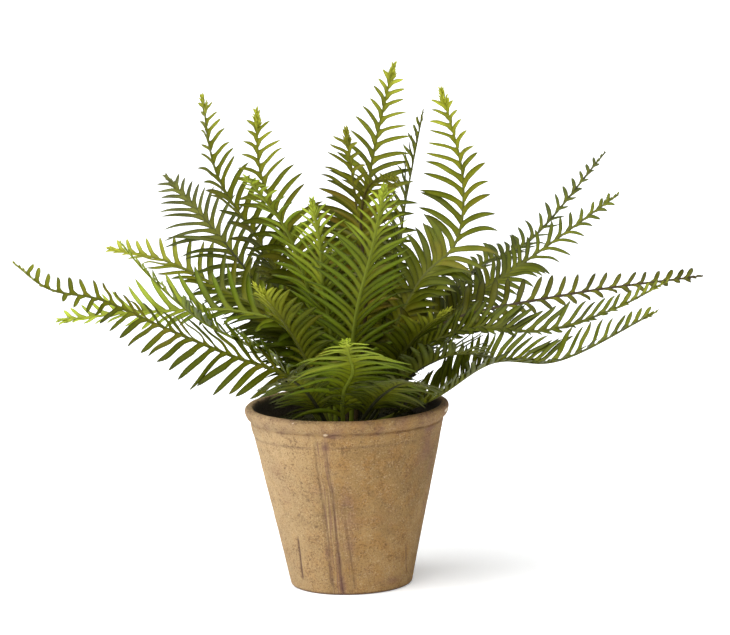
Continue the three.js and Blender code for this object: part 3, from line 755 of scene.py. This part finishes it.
def add_tip_leaflets(shape, centres, up, settings, youth, bud, bias, draw):
    """Crowds tiny leaflets round the end of the rib, as many and as long as the bud is full."""
    trail = [centre for centre in centres if (centre - centres[-1]).length < TIP_SPREAD]
    count = max(3, round(settings.tip_leaflets * bud))
    longest = settings.tip_length * (TIP_LEAST + (1 - TIP_LEAST) * bud)
    lean_first, lean_last = TIP_LEAN_SHARES
    for index in range(count):
        where = (index + draw.random()) / count
        spot = where * (len(trail) - 1) * TIP_TOP
        low = min(int(spot), len(trail) - 2)
        base = trail[low].lerp(trail[low + 1], spot - low)
        along = (trail[min(low + 2, len(trail) - 1)] - trail[max(low - 1, 0)]).normalized()
        side = along.cross(up).normalized() * (1 if index % 2 else -1)
        lean = math.radians(draw.uniform(*TIP_LEANS) * (lean_first + (lean_last - lean_first) * where))
        rise = math.radians(draw.uniform(*TIP_RISES))
        outward = side * math.cos(rise) + up * math.sin(rise)
        start = along * math.cos(lean) + outward * math.sin(lean)
        size = longest * draw.uniform(*TIP_SIZES) * (1 - TIP_SHORTENING * where)
        tip = base + (start + outward * TIP_CURL).normalized() * size
        face = (up - start * up.dot(start)).normalized()
        leaf = {
            "base": base, "tip": tip, "bow": tip - base - start * size,
            "across": start.cross(face).normalized(), "face": face, "foot_line": along,
            "width": draw.uniform(*TIP_WIDTHS) * MM, "fullness": TIP_FULLNESS,
        }
        add_leaflet(shape, leaf, settings, youth, min(1.0, bias + draw.uniform(*TIP_CHANCES)), draw)


def stray(draw):
    """A random vector, each part from -1 to 1."""
    return Vector((draw.uniform(-1, 1), draw.uniform(-1, 1), draw.uniform(-1, 1)))


def between(first, second, draw):
    """A leaflet halfway between two of one row."""
    made = {key: (first[key] + second[key]) / 2 for key in ("base", "tip", "bow", "width", "level")}
    for key in ("foot_line", "across", "face"):
        made[key] = (first[key] + second[key]).normalized()
    made["tip"] = made["base"].lerp(made["tip"], draw.uniform(*REST_LENGTHS)) + stray(draw) * REST_STRAY
    return made


def with_the_rest(leaflets, stations, last_level, draw):
    """The solid's leaflets with one more between any two neighbours of a row, up to a level."""
    rows = ([], [])
    for leaf in leaflets:
        here, after = stations[leaf["level"]], stations[leaf["level"] + 1]
        side = (after["centre"] - here["centre"]).cross(here["up"])
        rows[side.dot(leaf["tip"] - leaf["base"]) > 0].append(leaf)
    pairs = [pair for row in rows for pair in zip(row, row[1:]) if pair[1]["level"] <= last_level]
    return [*leaflets, *(between(first, second, draw) for first, second in pairs)]


def build_frond(node, seed, settings, material):
    """Builds one frond in the place of its solid."""
    draw = random.Random(seed)
    youth, bud, fullness, shade, dense, width = LOOKS.get(node.removeprefix("frond_"), COMMON_LOOK)
    stations, leaflets = read_frond(frame["nodes"][node].data)
    first_level = leaflets[0]["level"]
    last_level = len(stations) - 1
    leafy = last_level - first_level
    shape = Shape("tipward", "leafward", "chance", "rib", "edge")
    # painted shade lowers the frond's chance, which makes its leaflets darker
    bias = draw.uniform(*FROND_CHANCES) - shade
    leaflets = with_the_rest(leaflets, stations, first_level + dense * leafy, draw)
    centres = add_rib(shape, stations, first_level / last_level, bias, youth)
    for leaf in leaflets:
        tipward = youth * (leaf["level"] - first_level) / leafy
        leaf["fullness"] = fullness
        leaf["width"] *= width * (1 - TIP_SLIMMING * tipward) * (1 + draw.uniform(-1, 1) * WIDTH_STRAY)
        leaf["tip"] = leaf["tip"] + stray(draw) * (leaf["tip"] - leaf["base"]).length * LEAF_STRAY
        chance = min(1.0, max(LEAST_CHANCE, bias + draw.uniform(*LEAF_CHANCES)))
        low = int(leaf["level"])
        here, after = stations[low]["centre"], stations[low + 1]["centre"]
        inward = here.lerp(after, 0.5 + leaf["level"] - low) - leaf["base"]
        leaf["base"] = leaf["base"] + inward.normalized() * min(inward.length, BASE_SINK)
        add_leaflet(shape, leaf, settings, tipward, chance, draw)
    add_tip_leaflets(shape, centres, stations[-1]["up"], settings, youth, bud, bias, draw)
    shape.build("fine_" + node, material, node, sharp_angle=55)


# Pot

# Sizes are in mm. A section is heights and radii; a place on the front is x and height.
POT_ROUND = 448  # points round the pot
BASE_RADIUS = 44.2
BASE_EDGE = 2.5  # radius of the rounded edge of the foot
BASE_RING = 20.0  # radius of a ring on the flat underside
LIP = (  # from the top of the wall over the crest and down inside
    (118.5, 69.4), (120.5, 70.0), (121.6, 69.9), (122.6, 70.6), (124.0, 72.2), (126.0, 73.2), (128.0, 73.75),
    (129.5, 73.8), (130.8, 73.3), (131.6, 72.4), (132.0, 71.2), (132.0, 69.8), (131.5, 68.4), (130.4, 67.5),
    (128.8, 67.0), (126.0, 66.2),
)
SOIL_LINE = (112.0, 62.3)  # the inner wall below this is hidden and coarse
INSIDE = ((9.0, 38.0), (9.0, 0.0))  # the edge and the centre of the floor
WALL_STEP, LIP_STEP, INNER_STEP, HIDDEN_STEP = 1.1, 0.7, 1.4, 12.0
GROOVE_PLACE = 121.7  # height of the groove under the lip
BAND_PLACE = 113.0  # height of the lower edge of the band below it
LINE_HALF = 0.75  # half width of the groove and of the dark line under the band
# Lines down the front from the top, their half width and their strength at the top and at the foot.
FRONT_MARKS = {
    "dark drag": (
        ((-15.8, 117), (-14.3, 96), (-11.9, 81), (-10.5, 58), (-9.0, 35), (-7.9, 23), (-6.4, 1)),
        0.75, 0.7, 0.98,
    ),
    "left drag": (
        ((-22.9, 118), (-22.2, 96), (-19.3, 73), (-16.9, 58), (-14.9, 30), (-14.2, 12), (-12.8, 2)),
        0.8, 0.4, 0.6,
    ),
    "right drag": (((-3.5, 74), (-2.6, 52), (-0.4, 34), (1.8, 14), (2.4, 4)), 0.9, 0.2, 0.45),
    "crack": (((-37.9, 43), (-36.8, 30), (-36.4, 24), (-35.0, 9)), 0.62, 0.98, 0.98),
    "short crack": (((39.8, 35), (40.0, 24), (40.1, 11)), 0.55, 0.35, 0.45),
}
LIP_DARKENING = 0.09
# Chips: place and reach.
CHIPS = ((-15.6, 121.9, 1.7), (72.0, 128.2, 2.0), (25.5, 88.0, 0.8), (-38.0, 130.2, 0.7))
CHIP_DEPTH = 0.55
STAINS = (  # place, reach to the sides and reach up and down
    (-8.0, 120.8, 7, 1.8), (-1.0, 37.0, 4, 8), (28.0, 8.0, 8, 3), (57.0, 104.0, 5, 16), (60.0, 119.0, 9, 2),
    (-16.5, 112.0, 4, 5), (-17.0, 33.0, 1.6, 5), (-1.5, 66.0, 5, 14), (-6.5, 6.0, 3, 8),
)
PITS = (  # place and radius
    (-40.0, 116.3, 0.9), (-33.9, 84.9, 0.8), (-29.3, 72.3, 1.1), (-36.2, 59.9, 0.9), (-26.4, 74.8, 0.6),
    (-49.7, 68.5, 0.8), (-45.1, 94.8, 0.7), (41.0, 86.8, 0.7), (25.4, 36.5, 0.8), (6.2, 15.4, 0.7),
    (0.7, 74.6, 0.7), (-24.0, 52.0, 0.8), (12.0, 101.0, 0.6),
)
MORE_PITS = 150  # strewn all round
PIT_HEIGHTS = (3, 129)
PIT_SIZES = (0.35, 0.85)
DARK_PIT = 0.55  # radius from which a pit is dark
MOST_STAIN = 0.85
INSIDE_SHADE = 0.95  # how dark the painted shade is inside the pot, below its crest


def even_steps(points, step):
    """Heights and radii along a section, no further apart than about the step."""
    fine = []
    for (z0, r0), (z1, r1) in zip(points, points[1:]):
        count = max(1, round(math.hypot(z1 - z0, r1 - r0) / step))
        fine.extend((z0 + (z1 - z0) * i / count, r0 + (r1 - r0) * i / count) for i in range(count))
    return fine


def pot_profile():
    """The pot's section from the centre of its underside round to the centre of its floor."""
    foot = [(0.0, 0.0), (0.0, BASE_RING), (0.0, BASE_RADIUS - BASE_EDGE)]
    for turn in map(math.radians, (20, 40, 60, 80)):
        foot.append((BASE_EDGE * (1 - math.cos(turn)), BASE_RADIUS - BASE_EDGE * (1 - math.sin(turn))))
    wall = even_steps([(BASE_EDGE, BASE_RADIUS), LIP[0]], WALL_STEP)
    inner = even_steps([LIP[-1], SOIL_LINE], INNER_STEP) + even_steps([SOIL_LINE, INSIDE[0]], HIDDEN_STEP)
    return foot + wall + even_steps(LIP, LIP_STEP) + inner + list(INSIDE)


def waves(x, y, z, size, seed):
    """Noise from -1 to 1 at each point, with bumps of the given size."""
    shift = 37.1 * seed  # sets the noise of one seed apart from another's
    return np.array([
        noise.noise(Vector((a / size + shift, b / size, c / size))) for a, b, c in zip(x, y, z)
    ])


def bell(offset, half):
    """1 along a line, fading to nothing beside it."""
    return np.exp(-((offset / half) ** 2))


def line_at(line, z):
    """The x of a line down the front at each height."""
    xs, zs = np.array(line).T
    return np.interp(z, zs[::-1], xs[::-1])


def pot_surface(settings):
    """The pot's points and the values painted on them."""
    profile = np.array(pot_profile())
    z = np.repeat(profile[:, 0], POT_ROUND)
    radius = np.repeat(profile[:, 1], POT_ROUND)
    row = np.repeat(np.arange(len(profile)), POT_ROUND)
    angle = np.tile(circle(POT_ROUND), len(profile))
    x = radius * np.sin(angle)
    y = -radius * np.cos(angle)
    none = x * 0
    crest = int(np.argmax(profile[:, 0] + 0.001 * profile[:, 1]))  # the outer one of the highest points
    outer = (row <= crest).astype(float)
    front = outer * (y < 0)
    slow = waves(x, y, z, 34, 1)
    mid = waves(x, y, z, 9, 2)
    fine = waves(x, y, z, 2.4, 3)
    # The wall's unevenness
    push = settings.unevenness / MM * (0.6 * slow + 0.3 * mid) * smooth(radius, 10, 40) * smooth(z, 0.1, 3.0)
    push += 0.07 * fine * outer * smooth(z, 0.2, 2.0)
    # The groove under the lip and the low band below it, with a line of painted shade under the band
    around = 0.65 + 0.35 * np.sin(angle * 2 + 0.6) + 0.25 * slow
    groove_z = GROOVE_PLACE + 0.5 * np.sin(angle * 3 + 1.0) + 0.3 * slow
    groove = bell(z - groove_z, LINE_HALF) * outer * np.clip(around, 0.25, 1.0)
    push -= settings.groove_depth / MM * groove
    band_z = BAND_PLACE + 1.0 * np.sin(angle + 0.2) + 0.3 * slow
    strong = np.clip(0.42 + 0.58 * np.cos(angle + 0.75) + 0.25 * slow, 0, 1)
    band = smooth(z, band_z - 0.6, band_z + 0.8) * (1 - smooth(z, groove_z - 4.5, groove_z - 1.0))
    push += settings.band_height / MM * band * outer * strong
    # painted shade: a dark line along the step under the band
    under = bell(z - band_z + 0.9, LINE_HALF) * outer * strong
    mark = 0.85 * groove * np.clip(0.35 + 1.3 * mid + 0.7 * slow + 0.3 * np.sin(angle - 0.5), 0.08, 1.0)
    mark = np.maximum(mark, 0.6 * under * np.clip(0.8 + 0.8 * mid, 0.2, 1.0))
    # Drag marks and cracks
    wobble = 0.28 * waves(none, none + 3, z, 17, 4) + 0.1 * waves(none, none, z, 4, 5)
    patchy = np.clip(0.75 + 0.7 * waves(x, none, z, 7, 6), 0.25, 1.0)
    for name, (line, half, at_top, at_foot) in FRONT_MARKS.items():
        top, foot = line[0][1], line[-1][1]
        ends = smooth(z, foot - 1.5, foot + 3) * (1 - smooth(z, top - 4, top + 1.5))
        depth = bell(x - line_at(line, z) - wobble, half) * ends * front
        strength = at_foot + (at_top - at_foot) * smooth(z, 20, 85)
        mark = np.maximum(mark, depth * strength * (patchy if "drag" in name else 1.0))
        cut = settings.crack_depth if "crack" in name else settings.seam_depth
        push -= cut / MM * depth * (0.4 + 0.6 * strength)
    # The broad streaky drag beside the dark line
    across = x - line_at(FRONT_MARKS["dark drag"][0], z)
    drag = smooth(across, -9.5, -7) * (1 - smooth(across, 0.5, 2.5))
    drag += 0.45 * smooth(across, 0, 3) * (1 - smooth(z, 55, 85))
    drag *= (1 - smooth(across, 9, 13)) * front * (1 - smooth(z, 114, 119))
    # Stains, and the darker lip
    stain = 0.34 * bell(across, 1.5) * front * (1 - smooth(z, 118, 121))
    for centre_x, centre_z, reach_x, reach_z in STAINS:
        stain += 0.55 * bell(x - centre_x, reach_x) * bell(z - centre_z, reach_z) * front
    stain += 0.45 * np.clip(waves(x, y, z, 16, 8) - 0.22, 0, 1) * outer
    stain += 0.55 * smooth(z, 118, 122) * outer * np.clip(mid + 0.35, 0, 1)
    mark = np.maximum(mark, LIP_DARKENING * smooth(z, 118, 121) * outer)
    crest_bits = waves(x, y, z, 2.0, 12) * smooth(z, 128, 131)
    mark = np.maximum(mark, 0.55 * smooth(crest_bits, 0.12, 0.5))
    # Chips
    chalk = np.zeros_like(z)
    for centre_x, centre_z, reach in CHIPS:
        chip = bell(x - centre_x, reach) * bell(z - centre_z, 0.7 * reach) * front
        chalk += smooth(chip + 0.25 * fine * chip, 0.45, 0.7)
        push -= CHIP_DEPTH * smooth(chip, 0.3, 0.8)
    # Pits: the ones seen on the front, and others all round, which are placed by their angle
    draw = random.Random(11)
    strewn = [
        (draw.uniform(0, 2 * math.pi), draw.uniform(*PIT_HEIGHTS), draw.uniform(*PIT_SIZES))
        for _ in range(MORE_PITS)
    ]
    for index, (where, height, size) in enumerate([*PITS, *strewn]):
        seen = index < len(PITS)
        gap = x - where if seen else ((angle - where + math.pi) % (2 * math.pi) - math.pi) * radius
        near = (np.abs(z - height) < 3 * size) & (np.abs(gap) < 3 * size)
        pit = bell(gap[near], size) * bell(z[near] - height, size) * (front if seen else outer)[near]
        push[near] -= settings.pit_depth / MM * min(1.0, size) * pit
        if size > DARK_PIT:
            mark[near] = np.maximum(mark[near], (0.7 if seen else 0.3) * pit)
    # The uneven crest, the painted shade along the foot and the painted shade on the inner wall
    lift = 0.45 * waves(np.cos(angle) * 30, np.sin(angle) * 30, none, 13, 9) * smooth(z, 122, 130)
    # painted shade: a dark line where the foot meets the floor
    foot_shade = 0.7 * (1 - smooth(z, 0.4, 2.6)) * outer * (radius > 40)
    inside = INSIDE_SHADE * np.where(outer > 0, 0.0, 1 - smooth(radius, 66.6, 69.2 + 0.8 * mid))
    radius = radius + push
    height = np.minimum(z + lift, POT_HEIGHT / MM)
    points = np.stack([radius * np.sin(angle), -radius * np.cos(angle), height], -1)
    stain = np.minimum(stain, MOST_STAIN)
    values = {"mark": mark + foot_shade, "stain": stain, "chalk": chalk, "inside": inside, "drag": drag}
    values = {name: np.clip(value, 0, 1) for name, value in values.items()}
    return points, {**values, "across": across * MM}, len(profile)


def build_pot(settings):
    """Builds the aged clay pot."""
    points, values, rows = pot_surface(settings)
    grid = points.reshape(rows, POT_ROUND, 3) * MM
    marks = {name: value.reshape(rows, POT_ROUND) for name, value in values.items()}
    shape = Shape(*values)
    starts = [
        shape.add_ring(grid[row].tolist(), **{name: mark[row].tolist() for name, mark in marks.items()})
        for row in range(1, rows - 1)
    ]
    shape.join(starts, POT_ROUND)
    for start, row in ((starts[0], 0), (starts[-1], rows - 1)):
        shape.close(start, POT_ROUND, (0.0, 0.0, grid[row][0][2]))
    shape.build("clay_pot", clay_material(settings), "pot", sharp_angle=60)


# Soil

SOIL_ROUND = 128
SOIL_RINGS = 44
SOIL_FOOT = 38.4 * MM  # radius of its underside
SOIL_RISE = 3 * MM  # height of its middle above its edge
SOIL_GRAIN = 130  # scale of its bumps
SOIL_CALM = 0.7  # how much lower they are at its edge
SOIL_GAP = 0.2 * MM  # room left beside the pot
SOIL_HEADROOM = 0.4 * MM  # room left under the solid's top
CRUMB_MARGIN = 3 * MM  # least way from a crumb to the soil's edge
CRUMB_SIZES = (0.25, 1.0)  # beside the largest, before the curve that makes small ones common
CRUMB_CURVE = 1.5
CRUMB_LIFT = 0.2  # how high a crumb's middle lies above the soil, in radii
CRUMB_HEIGHTS = (0.5, 0.9)
CRUMB_JITTER = (0.72, 1.12)


def soil_height(x, y, edge, rim, bumps):
    """The soil's height at a point of its top."""
    spot = Vector((x, y, 0.0))
    far = min(1.0, spot.length / rim)
    rough = noise.fractal(spot * SOIL_GRAIN, 0.9, 2.1, 4) * bumps / 2
    return edge + SOIL_RISE * (1 - far * far) + rough * (1 - SOIL_CALM * far ** 4)


def add_crumb(shape, centre, size, draw):
    """Adds one rough lump."""
    lump = bmesh.new()
    bmesh.ops.create_icosphere(lump, subdivisions=1, radius=size)
    squash = Vector((1, 1, draw.uniform(*CRUMB_HEIGHTS)))
    spots = [centre + point.co * squash * draw.uniform(*CRUMB_JITTER) for point in lump.verts]
    first = shape.add_ring(spots)
    shape.faces.extend(tuple(first + point.index for point in face.verts) for face in lump.faces)
    lump.free()


def build_soil(settings):
    """Builds the soil: an uneven top strewn with crumbs, over a plain body that fills the pot's mouth."""
    low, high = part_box("soil")
    rim = high.x - SOIL_GAP
    edge = high.z - SOIL_RISE - SOIL_HEADROOM

    def top(radius, angle):
        """A point of the soil's top."""
        x, y = radius * math.cos(angle), radius * math.sin(angle)
        return Vector((x, y, soil_height(x, y, edge, rim, settings.roughness)))

    shape = Shape()
    turns = circle(SOIL_ROUND)
    rings = [
        shape.add_ring([top(rim * index / SOIL_RINGS, turn) for turn in turns])
        for index in range(1, SOIL_RINGS + 1)
    ]
    line = [(SOIL_FOOT * math.cos(turn), SOIL_FOOT * math.sin(turn), low.z) for turn in turns]
    foot = shape.add_ring(line)
    shape.join([*rings, foot], SOIL_ROUND)
    shape.close(rings[0], SOIL_ROUND, top(0, 0))
    shape.faces.append(tuple(range(foot, foot + SOIL_ROUND)))
    draw = random.Random(5)
    for _ in range(settings.crumbs):
        radius = (rim - CRUMB_MARGIN) * math.sqrt(draw.random())
        spot = top(radius, draw.uniform(0, 2 * math.pi))
        size = settings.crumb_size * draw.uniform(*CRUMB_SIZES) ** CRUMB_CURVE
        add_crumb(shape, spot + Vector((0, 0, CRUMB_LIFT * size)), size, draw)
    shape.build("potting_soil", soil_material(settings), "soil", sharp_angle=70)


# Stage

FLOOR_SIZE = 30.0
TARGET = Vector((14.9 * MM, 0.0, 194.4 * MM))  # the point in the middle of the picture
LIT_POINT = Vector((0.0, 0.0, 0.16))  # where the lamps point
FILL_PLACE = Vector((0.6, -2.6, 1.1))
FILL_SIZE = 1.6
BACKDROP = 1.1  # brightness of the world to the camera
WHITE = (1.0, 1.0, 1.0, 1.0)
SENSOR = 36.0


def add_lamp(name, kind, place_at, **settings):
    """Adds a lamp that points at the plant."""
    lamp = bpy.data.lights.new(name, kind)
    for key, value in settings.items():
        setattr(lamp, key, value)
    thing = add_object(name, lamp)
    thing.location = place_at
    thing.rotation_euler = (LIT_POINT - place_at).to_track_quat("-Z", "Y").to_euler()


def build_stage(settings):
    """Builds the floor, the light and the camera."""
    scene = bpy.context.scene
    mesh = bpy.data.meshes.new("floor")
    half = FLOOR_SIZE / 2
    corners = [(-half, -half, 0), (half, -half, 0), (half, half, 0), (-half, half, 0)]
    mesh.from_pydata(corners, [], [range(4)])
    material, tree, shader = new_material("pale_floor")
    seen = place(tree, "LightPath").outputs["Is Camera Ray"]
    feed(tree, shader.inputs, {
        "Base Color": opaque(settings.floor),
        "Roughness": 0.9,
        "Specular IOR Level": 0.1,
        "Emission Color": WHITE,
        "Emission Strength": times(tree, seen, settings.glow),
    })
    mesh.materials.append(material)
    add_object("floor", mesh)
    scene.world = bpy.data.worlds.new("studio")
    scene.world.use_nodes = True
    tree = scene.world.node_tree
    seen = place(tree, "LightPath").outputs["Is Camera Ray"]
    bright = place(tree, "MapRange", {"Value": seen, "To Min": settings.sky, "To Max": BACKDROP}).outputs[0]
    feed(tree, tree.nodes["Background"].inputs, {"Color": WHITE, "Strength": bright})
    for name in ("key", "side"):
        ends = ("", "_spread", "_turn", "_rise")
        power, spread, turn, rise = (getattr(settings, name + end) for end in ends)
        flat = math.cos(rise)
        away = Vector((-flat * math.sin(turn), -flat * math.cos(turn), math.sin(rise)))
        add_lamp(name, "SUN", LIT_POINT + away, energy=power, angle=spread)
    add_lamp("fill", "AREA", FILL_PLACE, energy=settings.fill, size=FILL_SIZE)
    camera = bpy.data.cameras.new("camera")
    camera.lens = settings.lens
    camera.sensor_width = SENSOR
    camera.clip_end = 100
    scene.camera = add_object("camera", camera)
    rise = settings.elevation
    forward = Vector((0, math.cos(rise), -math.sin(rise)))
    up = Vector((0, math.sin(rise), math.cos(rise)))
    right = Vector((1, 0, 0))
    c, s = math.cos(settings.roll), math.sin(settings.roll)
    axes = Matrix((right * c - up * s, right * s + up * c, -forward)).transposed()
    scene.camera.matrix_world = Matrix.Translation(TARGET - forward * settings.distance) @ axes.to_4x4()
    scene.view_settings.view_transform = "Standard"
    scene.view_settings.look = "None"


# Operators and panel


class FERN_OT_pot(bpy.types.Operator):
    """Build the aged clay pot"""

    bl_idname = "fern.pot"
    bl_label = "Clay pot"

    def execute(self, context):
        build_pot(context.scene.fern.pot)
        return {"FINISHED"}


class FERN_OT_soil(bpy.types.Operator):
    """Build the soil in the pot"""

    bl_idname = "fern.soil"
    bl_label = "Soil"

    def execute(self, context):
        build_soil(context.scene.fern.soil)
        return {"FINISHED"}


class FERN_OT_fronds(bpy.types.Operator):
    """Build every frond in the place of its solid"""

    bl_idname = "fern.fronds"
    bl_label = "Fronds"

    def execute(self, context):
        settings = context.scene.fern.fronds
        leaves = {slot: leaf_material(slot, settings) for slot in sorted({SLOTS[node] for node in FRONDS})}
        for seed, node in enumerate(FRONDS):
            build_frond(node, seed, settings, leaves[SLOTS[node]])
        return {"FINISHED"}


class FERN_OT_stage(bpy.types.Operator):
    """Set up the floor, the light and the camera"""

    bl_idname = "fern.stage"
    bl_label = "Studio"

    def execute(self, context):
        build_stage(context.scene.fern.stage)
        return {"FINISHED"}


class FERN_PT_panel(bpy.types.Panel):
    """The fern's pieces"""

    bl_label = "Potted fern"
    bl_idname = "FERN_PT_panel"
    bl_space_type = "VIEW_3D"
    bl_region_type = "UI"
    bl_category = "Fern"

    def draw(self, context):
        for operator in OPERATORS:
            self.layout.operator(operator.bl_idname)


OPERATORS = (FERN_OT_pot, FERN_OT_soil, FERN_OT_fronds, FERN_OT_stage)
CLASSES = (FrondSettings, PotSettings, SoilSettings, StageSettings, FernSettings, *OPERATORS, FERN_PT_panel)


def register():
    """Registers the settings, the operators and the panel."""
    for item in CLASSES:
        bpy.utils.register_class(item)
    bpy.types.Scene.fern = bpy.props.PointerProperty(type=FernSettings)


def unregister():
    """Takes them out again."""
    del bpy.types.Scene.fern
    for item in reversed(CLASSES):
        bpy.utils.unregister_class(item)


def main():
    """Builds every piece."""
    register()
    bpy.ops.fern.pot()
    bpy.ops.fern.soil()
    bpy.ops.fern.fronds()
    bpy.ops.fern.stage()


if __name__ == "__main__":
    main()
